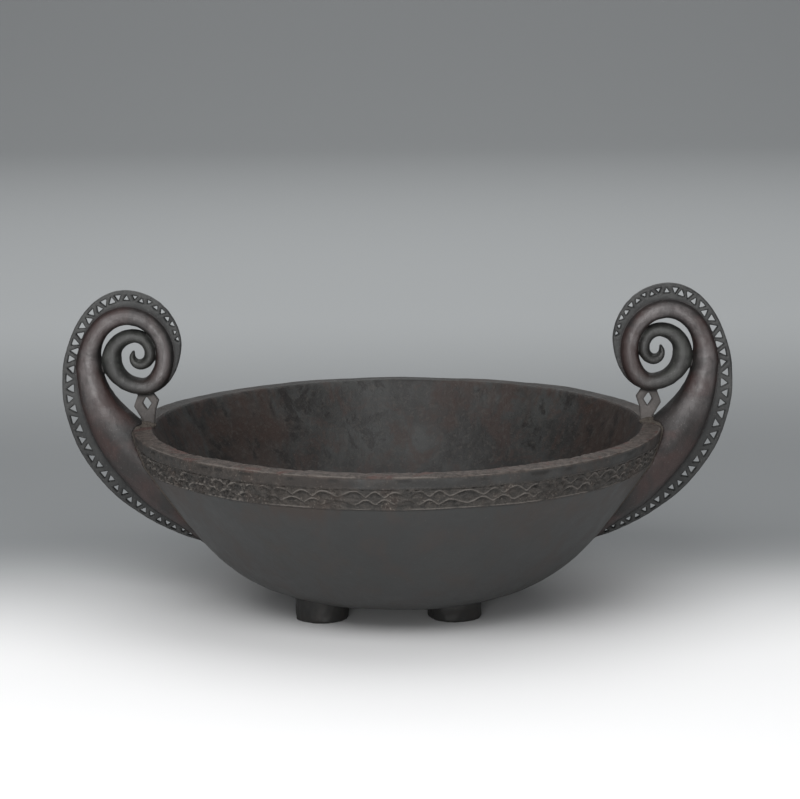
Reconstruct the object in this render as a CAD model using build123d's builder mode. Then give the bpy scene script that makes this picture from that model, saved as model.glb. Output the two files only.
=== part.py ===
from build123d import *
import math
import os

# Carved wooden feast bowl on four stub feet, with two openwork scroll handles.
# Units are millimetres.  X runs through both handles, Z is up, and the origin is
# on the ground under the middle of the bowl.
# The bowl, its rim, its carved band and its feet are one block of wood.  Each
# handle is a second block, bedded on the bowl's wall and rim with nut paste.

# ---- bowl -----------------------------------------------------------------
RIM_HEIGHT = 254.0
RIM_RADIUS = 369.0
RIM_INNER_RADIUS = 341.0
RIM_FALL = 1.5                 # the rim's top is this much lower at its outer edge
RIM_CORNER = 4.0               # worn outer corner of the rim

COLLAR_BOTTOM = 236.0          # the groove between the plain collar and the band
COLLAR_BOTTOM_RADIUS = 366.0
BAND_BOTTOM = 207.0
BAND_BOTTOM_RADIUS = 356.0

BELLY_LEAN = 34.5              # degrees from straight down, where the belly starts
BELLY_UPPER_REACH = 217.0      # how far the belly holds its first direction
BELLY_LOWER_REACH = 218.0      # how far the underside stays nearly flat
BELLY_BOTTOM = 15.7

CAVITY_LEAN = 26.0
CAVITY_UPPER_REACH = 250.0
CAVITY_LOWER_REACH = 159.0
CAVITY_BOTTOM = 46.0

BORDER_GROOVE_WIDTH = 3.0
BORDER_GROOVE_DEPTH = 2.0

FOOT_RADIUS = 36.5
FOOT_SPREAD_X = 91.5           # each foot is this far from the group's centre
FOOT_SPREAD_Y = 103.0
FOOT_GROUP_X = -14.5
FOOT_COUNT = 4
FOOT_TOP = 36.0                # inside the wall, which is about 30 thick there
FOOT_CHAMFER = 4.0

# ---- handles --------------------------------------------------------------
PASTE_THICKNESS = 2.0
SCROLL_THICKNESS = 42.0
CREST_THICKNESS = 12.0

# The scroll's edges are chains of quarter ellipses.  Each list holds the points
# where the edge runs upright or level in turn, as (x, z).
CREST_EDGE_TURNS = ((468, 310), (380, 447.5), (301.5, 370), (352, 299))
SCROLL_EDGE_TURNS = ((447.5, 330), (372, 425.5), (309, 350), (352, 299), (411, 352))
EYE_INNER_TURNS = ((366, 355), (359, 348), (352, 361), (366, 374), (385, 350), (360, 322), (336, 350))
EYE_OUTER_TURNS = ((338.5, 352), (357, 335), (373, 352), (368, 361))
CRESCENT_OUTER_TURNS = ((413, 355), (375, 400))
CRESCENT_INNER_TURNS = ((411, 350), (366, 392))
CRESCENT_TIP = (349, 388)

CREST_TIP = (262, 84)          # the crest's lower end, just inside the bowl's wall
CREST_TIP_SLOPE = 13.5         # degrees above level
CREST_TIP_REACH = 125.5        # how far the crest's edge holds its first direction
CREST_SIDE_REACH = 103.5       # how far below its widest point the edge is nearly upright
CREST_INSIDE = ((330, 340), (372, 412), (428, 340), (406, 250), (300, 120))   # hidden in the scroll
SCROLL_FOOT = ((410.5, 330), (422, 285), (434, 285))    # hidden in the top of the root

STRUT_OUTLINE = (
    (343, 303), (334, 289), (339, 274), (342, 250), (360, 250), (356, 261), (369, 281), (362, 303),
)
STRUT_HOLE = ((351, 294), (356, 285), (350, 275.5), (344.5, 285))

# The stem and its root swell towards the wall.  Each row is a level ellipse:
# height, middle in X, half-length in X, half-thickness in Y.
STEM_SECTIONS = (
    (92, 262, 22, 8),
    (112, 277, 30, 32),
    (145, 305, 48, 46),
    (180, 328, 60, 56),
    (212, 350, 60, 56),
    (240, 383, 41, 42),
    (265, 400, 36, 32),
    (295, 419, 26, 26),
    (330, 430, 19.5, 23),
)

# The crest's row of pierced triangles, pointing in and out by turns.
PIERCING_COUNT = 45
PIERCING_START = 34.0          # along the crest's edge, from its lower tip
PIERCING_END_GAP = 104.0       # plain edge left at the crest's upper end
PIERCING_SIZE = 10.8
PIERCING_MARGIN = 4.8          # wood left outside each triangle
PIERCING_TAPER = 150.0         # the triangles shrink over this length at both ends
PIERCING_LEAST = 0.5           # share of the full size that the end ones keep

# ---- paste pad under each strut --------------------------------------------
PAD_X = 351.0
PAD_BASE = (22.0, 32.0)
PAD_TOP = (16.0, 20.0)
PAD_HEIGHT = 6.0

os.makedirs("parts", exist_ok=True)


def outer_edge(grow):
    """The bowl's outer line from its bottom centre to its rim, swollen by grow."""
    lean = math.radians(BELLY_LEAN)
    outward = (grow * math.cos(lean), -grow * math.sin(lean))
    belly_top = (BAND_BOTTOM_RADIUS + outward[0], BAND_BOTTOM + outward[1])
    belly_control = (
        belly_top[0] - BELLY_UPPER_REACH * math.sin(lean),
        belly_top[1] - BELLY_UPPER_REACH * math.cos(lean),
    )
    bottom = (0, BELLY_BOTTOM - grow)
    Bezier(bottom, (BELLY_LOWER_REACH, bottom[1]), belly_control, belly_top)
    Polyline(
        belly_top,
        (COLLAR_BOTTOM_RADIUS + grow, COLLAR_BOTTOM),
        (RIM_RADIUS + grow, RIM_HEIGHT - RIM_FALL - RIM_CORNER),
        (RIM_RADIUS - RIM_CORNER + grow, RIM_HEIGHT - RIM_FALL + grow),
    )


def quarter_turns(points):
    """A chain of quarter ellipses; the edge starts upright at the first point."""
    upright = True
    for start, end in zip(points, points[1:]):
        center = (end[0], start[1]) if upright else (start[0], end[1])
        first_angle = math.degrees(math.atan2(start[1] - center[1], start[0] - center[0]))
        last_angle = math.degrees(math.atan2(end[1] - center[1], end[0] - center[0]))
        turn = (last_angle - first_angle + 180) % 360 - 180
        EllipticalCenterArc(
            center,
            abs(start[0] - end[0]),
            abs(start[1] - end[1]),
            start_angle=first_angle,
            arc_size=turn,
        )
        upright = not upright


def crest_rise():
    """The crest's outer edge from its lower tip, out and up to its widest point."""
    slope = math.radians(CREST_TIP_SLOPE)
    tip_control = (
        CREST_TIP[0] + CREST_TIP_REACH * math.cos(slope),
        CREST_TIP[1] + CREST_TIP_REACH * math.sin(slope),
    )
    side = CREST_EDGE_TURNS[0]
    Bezier(CREST_TIP, tip_control, (side[0], side[1] - CREST_SIDE_REACH), side)


def crest_piercings(path):
    """Triangles along the crest, pointing in and out by turns and shrinking to its ends."""
    length = path.length
    last = length - PIERCING_END_GAP
    spacing = (last - PIERCING_START) / (PIERCING_COUNT - 1)
    outlines = []
    for index in range(PIERCING_COUNT):
        along = PIERCING_START + index * spacing
        end_distance = min(along - PIERCING_START, last - along)
        share = min(1.0, PIERCING_LEAST + (1 - PIERCING_LEAST) * end_distance / PIERCING_TAPER)
        size = PIERCING_SIZE * share
        edge_point = path.position_at(along, PositionMode.LENGTH)
        edge_direction = path.tangent_at(along, PositionMode.LENGTH)
        inward = Vector(-edge_direction.Z, 0, edge_direction.X)
        base_depth = PIERCING_MARGIN * share
        apex_depth = base_depth + size
        if index % 2:
            base_depth, apex_depth = apex_depth, base_depth
        corners = (
            edge_point + inward * base_depth - edge_direction * size / 2,
            edge_point + inward * base_depth + edge_direction * size / 2,
            edge_point + inward * apex_depth,
        )
        outlines.append([(corner.X, corner.Z) for corner in corners])
    return outlines


# ---- the bowl ---------------------------------------------------------------
with BuildPart() as bowl:
    with BuildSketch(Plane.XZ):
        with BuildLine():
            outer_edge(0)
            Line((RIM_RADIUS - RIM_CORNER, RIM_HEIGHT - RIM_FALL), (RIM_INNER_RADIUS, RIM_HEIGHT))
            cavity_lean = math.radians(CAVITY_LEAN)
            Bezier(
                (RIM_INNER_RADIUS, RIM_HEIGHT),
                (
                    RIM_INNER_RADIUS - CAVITY_UPPER_REACH * math.sin(cavity_lean),
                    RIM_HEIGHT - CAVITY_UPPER_REACH * math.cos(cavity_lean),
                ),
                (CAVITY_LOWER_REACH, CAVITY_BOTTOM),
                (0, CAVITY_BOTTOM),
            )
            Line((0, CAVITY_BOTTOM), (0, BELLY_BOTTOM))
        make_face()
    revolve(axis=Axis.Z)

    # Four stub feet.
    with BuildSketch(Plane.XY):
        with Locations((FOOT_GROUP_X, 0)):
            with GridLocations(2 * FOOT_SPREAD_X, 2 * FOOT_SPREAD_Y, 2, 2):
                Circle(FOOT_RADIUS)
    extrude(amount=FOOT_TOP)
    foot_soles = faces().filter_by(Plane.XY).sort_by(Axis.Z)[:FOOT_COUNT]
    chamfer(foot_soles.edges(), FOOT_CHAMFER)

    # The grooves that border the carved band.
    with BuildSketch(Plane.XZ):
        for radius, height in ((COLLAR_BOTTOM_RADIUS, COLLAR_BOTTOM), (BAND_BOTTOM_RADIUS, BAND_BOTTOM)):
            with Locations((radius, height)):
                Rectangle(2 * BORDER_GROOVE_DEPTH, BORDER_GROOVE_WIDTH)
    revolve(axis=Axis.Z, mode=Mode.SUBTRACT)

bowl.part.label = "bowl"
export_step(bowl.part, "parts/bowl.step")

# The round block under the paste, and the same block with its layer of paste on.
with BuildPart() as block:
    with BuildSketch(Plane.XZ):
        with BuildLine():
            outer_edge(0)
            Polyline(
                (RIM_RADIUS - RIM_CORNER, RIM_HEIGHT - RIM_FALL),
                (RIM_INNER_RADIUS, RIM_HEIGHT),
                (0, RIM_HEIGHT),
                (0, BELLY_BOTTOM),
            )
        make_face()
    revolve(axis=Axis.Z)

with BuildPart() as pasted_block:
    with BuildSketch(Plane.XZ):
        with BuildLine():
            outer_edge(PASTE_THICKNESS)
            paste_top = RIM_HEIGHT + PASTE_THICKNESS
            Polyline(
                (RIM_RADIUS - RIM_CORNER + PASTE_THICKNESS, paste_top - RIM_FALL),
                (RIM_INNER_RADIUS, paste_top),
                (0, paste_top),
                (0, BELLY_BOTTOM - PASTE_THICKNESS),
            )
        make_face()
    revolve(axis=Axis.Z)

# ---- the right handle ---------------------------------------------------------
with BuildLine(Plane.XZ) as crest_path:
    crest_rise()
    quarter_turns(CREST_EDGE_TURNS)

with BuildPart() as scroll_form:
    # The thin crest, which stands out all along the scroll's outer edge.
    with BuildSketch(Plane.XZ):
        with BuildLine():
            crest_rise()
            quarter_turns(CREST_EDGE_TURNS)
            Polyline(CREST_EDGE_TURNS[-1], *CREST_INSIDE, CREST_TIP)
        make_face()
    extrude(amount=CREST_THICKNESS / 2, both=True)

    # The thick scroll.
    with BuildSketch(Plane.XZ):
        with BuildLine():
            quarter_turns(SCROLL_EDGE_TURNS)
            Polyline(SCROLL_EDGE_TURNS[-1], *SCROLL_FOOT, SCROLL_EDGE_TURNS[0])
        make_face()
    extrude(amount=SCROLL_THICKNESS / 2, both=True)

    # The stem and the swelling root that is bedded on the wall.
    for height, middle, half_length, half_thickness in STEM_SECTIONS:
        with BuildSketch(Plane.XY.offset(height)):
            with Locations((middle, 0)):
                Ellipse(half_length, half_thickness)
    loft()

    # The gap between the two inner turns, and the crescent outside them.
    with BuildSketch(Plane.XZ):
        with BuildLine():
            quarter_turns(EYE_INNER_TURNS)
            Line(EYE_INNER_TURNS[-1], EYE_OUTER_TURNS[0])
            quarter_turns(EYE_OUTER_TURNS)
            Line(EYE_OUTER_TURNS[-1], EYE_INNER_TURNS[0])
        make_face()
        with BuildLine():
            quarter_turns(CRESCENT_OUTER_TURNS)
            TangentArc(CRESCENT_OUTER_TURNS[-1], CRESCENT_TIP, tangent=(-1, 0))
            TangentArc(CRESCENT_INNER_TURNS[-1], CRESCENT_TIP, tangent=(-1, 0))
            quarter_turns(CRESCENT_INNER_TURNS)
            Line(CRESCENT_INNER_TURNS[0], CRESCENT_OUTER_TURNS[0])
        make_face()
    extrude(amount=SCROLL_THICKNESS, both=True, mode=Mode.SUBTRACT)

with BuildPart() as handle_right:
    add(scroll_form.part)

    # The pierced strut between the rim and the underside of the scroll.
    with BuildSketch(Plane.XZ):
        Polygon(*STRUT_OUTLINE)
        Polygon(*STRUT_HOLE, mode=Mode.SUBTRACT)
    extrude(amount=CREST_THICKNESS / 2, both=True)

    # The row of pierced triangles along the crest.
    with BuildSketch(Plane.XZ):
        for outline in crest_piercings(crest_path.wires()[0]):
            Polygon(*outline)
    extrude(amount=CREST_THICKNESS, both=True, mode=Mode.SUBTRACT)

    # The hollow face that fits over the bowl's wall and rim.
    add(pasted_block.part, mode=Mode.SUBTRACT)

handle_right.part.label = "handle_right"
export_step(handle_right.part, "parts/handle_right.step")

# ---- the paste under the right handle -------------------------------------------
with BuildPart() as bed_paste_right:
    add(scroll_form.part)
    add(pasted_block.part, mode=Mode.INTERSECT)
    add(block.part, mode=Mode.SUBTRACT)

bed_paste_right.part.label = "bed_paste_right"
export_step(bed_paste_right.part, "parts/bed_paste_right.step")

with BuildPart() as strut_paste_right:
    with BuildSketch(Plane.XY.offset(RIM_HEIGHT - RIM_FALL)):
        with Locations((PAD_X, 0)):
            Ellipse(PAD_BASE[0] / 2, PAD_BASE[1] / 2)
    with BuildSketch(Plane.XY.offset(RIM_HEIGHT + PAD_HEIGHT)):
        with Locations((PAD_X, 0)):
            Ellipse(PAD_TOP[0] / 2, PAD_TOP[1] / 2)
    loft()
    add(block.part, mode=Mode.SUBTRACT)
    add(bed_paste_right.part, mode=Mode.SUBTRACT)
    add(handle_right.part, mode=Mode.SUBTRACT)

strut_paste_right.part.label = "strut_paste_right"
export_step(strut_paste_right.part, "parts/strut_paste_right.step")

# ---- the left side is the right side mirrored --------------------------------------
with BuildPart() as handle_left:
    add(mirror(handle_right.part, about=Plane.YZ, mode=Mode.PRIVATE))

handle_left.part.label = "handle_left"
export_step(handle_left.part, "parts/handle_left.step")

with BuildPart() as bed_paste_left:
    add(mirror(bed_paste_right.part, about=Plane.YZ, mode=Mode.PRIVATE))

bed_paste_left.part.label = "bed_paste_left"
export_step(bed_paste_left.part, "parts/bed_paste_left.step")

with BuildPart() as strut_paste_left:
    add(mirror(strut_paste_right.part, about=Plane.YZ, mode=Mode.PRIVATE))

strut_paste_left.part.label = "strut_paste_left"
export_step(strut_paste_left.part, "parts/strut_paste_left.step")
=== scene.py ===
import math

import bpy
import numpy as np
from mathutils import Matrix, Vector


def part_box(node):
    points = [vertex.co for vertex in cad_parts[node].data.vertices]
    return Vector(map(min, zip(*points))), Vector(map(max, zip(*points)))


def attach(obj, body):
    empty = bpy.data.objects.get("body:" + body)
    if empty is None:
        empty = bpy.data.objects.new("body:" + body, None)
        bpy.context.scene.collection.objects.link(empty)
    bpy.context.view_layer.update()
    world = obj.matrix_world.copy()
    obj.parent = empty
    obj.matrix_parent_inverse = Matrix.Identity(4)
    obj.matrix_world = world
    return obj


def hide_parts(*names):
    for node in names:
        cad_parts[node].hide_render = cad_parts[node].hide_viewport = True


# The looks of a carved feast bowl: the bowl with its carved band and feet, two
# openwork scroll handles, and the nut paste that beds them.
# Shapes are in millimetres in the frame's own axes, and turned into metres when
# a mesh is made. Materials, the stage, the camera and the lights are in metres.

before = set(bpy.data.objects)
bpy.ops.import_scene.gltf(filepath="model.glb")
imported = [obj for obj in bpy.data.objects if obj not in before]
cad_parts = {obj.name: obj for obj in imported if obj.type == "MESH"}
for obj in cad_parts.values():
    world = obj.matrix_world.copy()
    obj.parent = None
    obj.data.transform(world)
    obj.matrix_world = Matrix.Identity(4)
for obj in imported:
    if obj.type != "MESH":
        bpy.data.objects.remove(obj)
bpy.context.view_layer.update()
MM = 0.001
SEED = 11
RIPPLE_SPREAD = (0.7, 1.6)  # the shortest and longest waves, as shares of the wavelength


def node_box(name):
    """A CAD node's lowest and highest corner, in millimetres."""
    low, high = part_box(name)
    return np.array(low) / MM, np.array(high) / MM


# ---- driving sizes, from the frame ----
BOWL_LOW, BOWL_HIGH = node_box("bowl")
HANDLE_LOW, HANDLE_HIGH = node_box("handle_right")
RIM_HEIGHT = BOWL_HIGH[2]
RIM_RADIUS = BOWL_HIGH[0]
FOOT_SOLE = BOWL_LOW[2]
HANDLE_TOP = HANDLE_HIGH[2]

# ---- the bowl's profile: each point is a radius and a height ----
RIM_INNER_RADIUS = RIM_RADIUS - 28
RIM_FALL = 0.6  # the rim's top slopes down to its outer edge
RIM_ROUNDING = 2.6
RIM_ROUNDING_ANGLES = (20, 45, 70, 90)
RIM_INNER_ROUNDING = 2.0
RIM_INNER_CORNER = (0.7, 0.6)  # its worn inner edge, out from the wall and down from the rim
BELLY_BOTTOM = 15.7
CAVITY_BOTTOM = 46.0
BELLY_CURVE = ((0, BELLY_BOTTOM), (218, BELLY_BOTTOM), (233.1, 28.2), (354.6, 205.2))
CAVITY_CURVE = (
    (RIM_INNER_RADIUS, RIM_HEIGHT), (231.4, 29.3), (159, CAVITY_BOTTOM), (0, CAVITY_BOTTOM),
)
BELLY_START = 0.012  # the curves' shares that the rows cover
LIP_SHARES = (0.004, 0.03)
CAVITY_SHARES = (0.05, 0.992)
BELLY_ROWS = 31
LIP_ROWS = 4
CAVITY_ROWS = 30
BAND_LEDGE = ((355.0, 206.2), (356.4, 207.3))  # the small step from the belly out to the band
BAND_BOTTOM = (356.0, 207.0)
BAND_TOP = (366.0, 236.0)
BAND_INSET = (0.4, 0.8)  # the carving keeps this far off the band's borders
BAND_ROWS = 32
GROOVE_WIDTH = 1.6  # between the band and the collar
GROOVE_DEPTH = 0.8
COLLAR_FLARE = 2.0
COLLAR_ROWS = 7
COLLAR_TOP = RIM_HEIGHT - 4.5
COLLAR_RADIUS = RIM_RADIUS - 0.5
RIM_ROWS = 8

TOOTH_COUNT = 78
FINE_STEPS = 16 * TOOTH_COUNT  # steps round the rim and the carved band
COARSE_EVERY = 4  # the belly and the cavity have a quarter of them

# ---- the band's carving, up the band in shares of its height ----
RIB_WIDTH = 0.045
RIB_HEIGHT = 1.5
UPPER_RIB = (0.79, 0.145)  # middle and swing
LOWER_RIB = (0.38, 0.12)
UPPER_PIT = (0.17, 0.07, 0.2)  # distance below the rib, width, and how high its wave has to be
LOWER_PIT = (0.15, 0.06, 0.3)
TOP_PIT = (0.05, 0.4)  # width, and depth as a share of the others
PIT_DEPTH = 1.6
# how much darker the pits are painted: grime and painted shade in the recesses
PIT_SHADE_AND_GRIME = 0.5
EDGE_RIB_WIDTH = 0.04
EDGE_RIB_HEIGHT = 0.9
GROUND_DEPTH = 1.2  # the band's ground lies below its borders
RIB_SHARPNESS = 1.1
# The hand-carved drift of the teeth: each wave's height, rate in teeth and start.
TOOTH_DRIFT = ((0.25, 0.37, 0), (0.2, 0.93, 2), (0.1, 2.3, 0))
SHARPNESS_DRIFT = ((0.5, 0.21, 1),)
UPPER_DRIFT = ((0.02, 1.7, 0),)
LOWER_DRIFT = ((0.02, 1.3, 1),)

# ---- the bowl's wear, and its painted light and shade ----
# Each unevenness is a list of heights, wavelengths and seeds.
HAND_CARVING = ((0.5, 160, 3), (0.12, 30, 4))
USED_FRONT = (-0.6, 0.3)  # from the back to the front, where use starts to show and the rim top stops being painted darker
LEAST_USE = 0.05
GRITTY_LEFT = (0.3, 0.6)  # the left third of the front is grittier
GRITTY_FRONT = (0.1, 0.5)
# A ripple is its wavelength and its seed. Where a value is a pair, the second is
# how much it changes on the gritty side.
BREAKS = ((1.0, 30, 18),)  # where the groove below the rim is broken out
GRITTIER_BREAKS = 0.8
BREAK_START = (0.3, 1.2)
UNDERCUT_DROP = 6.5
UNDERCUT_WIDTH = 1.8
UNDERCUT_DEPTH = (0.7, 0.5)
# how dark the broken-out groove under the rim's edge is painted: painted shadow
UNDERCUT_SHADOW = 0.7
# how much darker the collar is painted, and how much less so on the gritty side
COLLAR_DARKENING = (0.38, 0.7)
COLLAR_SMOOTHNESS = (0.75, 0.5)
BAND_GRIT = (0.3, 0.5)
BAND_GRIT_RIPPLE = (6, 5)
GRIT_WEAR = 0.4
GRIT_WEAR_RIPPLE = (5, 19)
RIM_DENTS = 0.2
RIM_DENT_RIPPLE = (9, 6)
# how much darker the rim top is painted towards the back
BACK_RIM_DARKENING = 0.5
WEAR_RIPPLE = (45, 15)
WEAR_START = (-1.8, 0.4)
STAINS = ((1.0, 170, 16), (0.5, 14, 17))
SIDE_STAINS = (3, 0.7)  # stronger towards the handles
STAIN_START = (-0.6, 1.2)
CAVITY_STAIN_SHARE = 0.9
COLLAR_ZONE = (236.5, 238, 249, 251)  # heights: its darkening comes in, then goes out
OUTER_CHIPS = (90, 1.5, 7)  # how many round the rim, their depth and their width
INNER_CHIPS = (60, 1.0, 6)
OUTER_CHIP_REACH = (9, 2)  # in from the rim's edge: where they start, and are full
INNER_CHIP_REACH = (2, 8)  # out from the inner edge: where they are full, and end
CHIP_WIDTH_SPREAD = (0.4, 1.5)
CHIP_DEPTH_SPREAD = (0.2, 1)
NEAR_RIM = (RIM_HEIGHT - 9, RIM_HEIGHT - 1)  # the heights between which each look comes in
RIM_TOP = (RIM_HEIGHT - 3.5, RIM_HEIGHT - 1.5)
CRUST_FOOT = (205, 208)
SMOOTH_COLLAR = (236, 240)
STAIN_FOOT = (140, 215)
OUTER_EDGE = (1.4, 1.2, 1.0, 1.6)  # the rim's outer edge painted pale as a painted highlight: drop and width, then inset and width

# ---- the feet ----
FOOT_RADIUS = 36.5
FOOT_SPREAD_X = 91.5
FOOT_SPREAD_Y = 103.0
FOOT_GROUP_X = -14.5
FOOT_ROUNDING = 4.5
FOOT_FLARE = 1.2
FOOT_TOP = 34.0
FOOT_SOLE_INSET = 11.25  # the flat sole stops this far inside the foot's side
FOOT_SIDE_ROWS = 7
FOOT_STEPS = 96
FOOT_WOBBLE = ((0.6, 30, 7), (0.3, 9, 8))
FOOT_SHADE = 0.5  # how dark the feet are painted, as painted shade under the belly, from 0 to 0.8

# ---- the handles ----
GRID_STEP = 1.3
GRID_MARGIN_LOW = (17.2, 6, 13.2)  # room round the handle for the paste and its own unevenness
GRID_MARGIN_HIGH = (4, 6, 4)
LINE_STEPS = 48  # points in each quarter turn of the scroll's middle line
CREST_HALF_THICKNESS = 5.8
SCROLL_ROUNDNESS = 2.3  # the power of the scroll's rounded section

# The scroll's middle line is a chain of quarter ellipses, from the tip outwards.
# Each point, x and z, is where the line runs upright or level in turn.
SCROLL_LINE = (
    (369.8, 354), (358.5, 341.5), (344, 359), (366, 383), (398.5, 351),
    (355, 309), (324, 355), (377.5, 412.5), (430.3, 342),
)
SCROLL_TIP = (368.2, 359.5)
# Its half-width and half-thickness, by how many quarter turns it has made.
SCROLL_SECTIONS = (
    (-0.4, 2.0, 8),
    (0, 3.4, 10),
    (1, 6.6, 14),
    (2, 8.2, 16),
    (3, 9.1, 17),
    (3.5, 11.5, 18),
    (4, 13.4, 19),
    (4.5, 11.6, 19),
    (5, 11.9, 19.5),
    (5.5, 13.0, 20),
    (6, 12.5, 20),
    (7, 12.8, 20.5),
    (7.5, 13.4, 21),
    (8, 16.0, 21),
)

# The stem and root as level ellipses: height, inner end and outer end in X,
# half-thickness.
STEM_SECTIONS = (
    (78, 235, 268, 4),
    (92, 240, 284, 12),
    (112, 247, 308, 32),
    (132, 254, 338, 42),
    (155, 264, 365, 50),
    (180, 270, 387, 55),
    (212, 290, 411, 56),
    (236, 332, 424.5, 46),
    (252, 351, 431.5, 38),
    (267, 368, 436.5, 32),
    (282, 383, 441, 28.5),
    (300, 397, 444.5, 25.5),
    (322, 408.5, 447, 22.5),
    (342, 413.5, 446.5, 19.5),
    (362, 420, 441, 13),
)
STEM_JOIN = 7.0  # how softly the stem runs into the scroll
STEM_STEEPNESS = 0.85  # brings the stem's field near to true distance
TIP_STEPS = 8
ON_SCROLL = 1.1  # the scroll's looks reach this many half-widths from its line
FAR_AWAY = 99.0

CREST_TIP = (262, 84)
CREST_TIP_SLOPE = 13.5
CREST_TIP_REACH = 125.5
CREST_SIDE_REACH = 103.5
CREST_EDGE_TURNS = ((467.8, 310), (380, 447.3), (301.5, 370), (352, 299))
CREST_RISE_STEPS = 60
CREST_TURN_STEPS = 40
CREST_FIRST_TURN = 6  # the crest's inner edge follows the scroll from this turn
CREST_LINE_EVERY = 4
PLATE_EDGE_SOFTNESS = 2.0
CREST_ROOT = ((406, 250), (300, 120))

STRUT_OUTLINE = (
    (343, 303), (334, 289), (339, 274), (342, 250), (360, 250), (356, 261), (369, 281), (362, 303),
)
STRUT_HOLE = ((351, 294), (356, 285), (350, 275.5), (344.5, 285))
STRUT_MARGIN = 2

# The bowl as a solid block, which the handle and its paste fit round.
BLOCK_STEPS = 60
BLOCK_RADII = (HANDLE_LOW[0] - 20, RIM_RADIUS + 160, 1.0)  # first, last and step
BLOCK_CEILING = RIM_HEIGHT + 8
BLOCK_TOP = (
    BAND_TOP,
    (RIM_RADIUS, RIM_HEIGHT - 5.5),
    (RIM_RADIUS - 4, RIM_HEIGHT - RIM_FALL),
    (0, RIM_HEIGHT),
)

PIERCING_COUNT = 45
PIERCING_SIDE = (0.42, 0.2, 0.3)  # where they stand wider apart: middle and reach, and how much
PIERCING_START = 34.0
PIERCING_END_GAP = 104.0
PIERCING_SIZE = 10.8  # across the crest
PIERCING_HALF_BASE = 0.46  # along the crest, as a share of their spacing
PIERCING_MARGIN = 4.8
PIERCING_TAPER = 150.0
PIERCING_LEAST = 0.5  # their size at the crest's ends, as a share
PIERCING_NARROWING = 0.4
PIERCING_TABLE = 200
PIERCING_SEED = 9
PIERCING_SIZE_SPREAD = (0.9, 1.08)
PIERCING_PLACE_SPREAD = (-0.8, 0.8)
PIERCING_LEAN = (-0.15, 0.15)
PIERCING_BASE_SPREAD = (0.92, 1.05)

HANDLE_CARVING = ((0.3, 60, 10), (0.08, 11, 11))
SMOOTHING_SHARE = 0.6
SMOOTHING_ROUNDS = 4
OFF_PLATE = (0.8, 3.5)  # the distances from the plate between which smoothing comes in
ON_CREST = (0.5, 2.0)  # and from the scroll and stem for the crest's look
# the width of the painted shade along the plate's junction with the scroll and stem
JUNCTION_WIDTH = 2.2
STEEP_SIDE = (0.15, 0.5)  # how far the surface has to face the front to escape the steep sides' painted shade
# how dark the steep sides of the scroll and stem are painted: painted shade
STEEP_SIDE_SHADE = 0.6
# how far the surface has to face the front for the crown's painted highlight
CROWN = (0.35, 1.0)
POLISHED_HEIGHTS = (235, 320)
INNER_TURN = (4.6, 5.8)  # the turns where the dull inner scroll ends

LEFT_HANDLE_DROP = 4.0  # the left scroll was set a little lower
LEFT_HANDLE_SHIFT = 1.2  # and nearer the bowl
DROPPED_HEIGHTS = (RIM_HEIGHT + 8, HANDLE_TOP)  # between them the change grows to its full size
SHIFTED_HEIGHTS = (110, 220)

# ---- the paste ----
PASTE_THICKNESS = 2.0
PASTE_SPREAD = 2.6  # squeezed out past the handle's outline
PASTE_BULGE = 0.6  # past its own thickness, into the handle
PASTE_BITE = 1.2  # and into the wall
PASTE_CREEP = 0.8  # how unevenly
PASTE_CREEP_RIPPLE = (16, 12, 12)  # wavelength, seed and number of waves
PASTE_NOISE_EVERY = 4  # grid steps between places where the spread is worked out

PAD_MIDDLE = np.array([351.0, 0, RIM_HEIGHT - 1])
PAD_REACH = np.array([12.5, 17, 7.5])
PAD_FIELD_SCALE = 7.0
PAD_LUMPS = ((0.7, 9, 13), (0.3, 4, 14))
PAD_LIMIT = 1.07  # no lump stands further out than this share of its reach
PAD_DEPTH = 2.6  # below the rim
PAD_STEP = 0.8
PAD_GRID_LOW = np.array([335.0, -20, RIM_HEIGHT - 5])
PAD_GRID_COUNTS = (40, 50, 20)

# ---- noise and curves ----


def ripple(points, wavelength, seed, waves=24):
    """Smooth random unevenness of about unit size, from waves in random directions."""
    random = np.random.default_rng(SEED + seed)
    total = np.zeros(points.shape[:-1])
    for _ in range(waves):
        direction = random.normal(size=3)
        length = wavelength * random.uniform(*RIPPLE_SPREAD)
        direction *= 2 * math.pi / (length * np.linalg.norm(direction))
        total += np.cos(points @ direction + random.uniform(0, 2 * math.pi))
    return total / math.sqrt(waves / 2)


def rippled(points, layers, base=0.0):
    """The base with layers of unevenness added, each a height, a wavelength and a seed."""
    for height, wavelength, seed in layers:
        base = base + height * ripple(points, wavelength, seed)
    return base


def smooth_step(value, low, high):
    share = np.clip((value - low) / (high - low), 0, 1)
    return share * share * (3 - 2 * share)


def bezier(points, count, first=0.0, last=1.0):
    """count points along a cubic Bezier curve, evenly spaced in its parameter."""
    t = np.linspace(first, last, count)[:, None]
    a, b, c, d = (np.array(point, float) for point in points)
    return (1 - t) ** 3 * a + 3 * (1 - t) ** 2 * t * b + 3 * (1 - t) * t**2 * c + t**3 * d


def quarter_turns(rows, per_turn):
    """Points along a chain of quarter ellipses that starts upright."""
    rows = np.array(rows, float)
    out = []
    upright = True
    for start, end in zip(rows, rows[1:]):
        angle = np.linspace(0, math.pi / 2, per_turn, endpoint=False)
        if upright:
            x = end[0] + (start[0] - end[0]) * np.cos(angle)
            z = start[1] + (end[1] - start[1]) * np.sin(angle)
        else:
            x = start[0] + (end[0] - start[0]) * np.sin(angle)
            z = end[1] + (start[1] - end[1]) * np.cos(angle)
        out.append(np.stack([x, z], 1))
        upright = not upright
    out.append(rows[-1:])
    return np.vstack(out)


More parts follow.
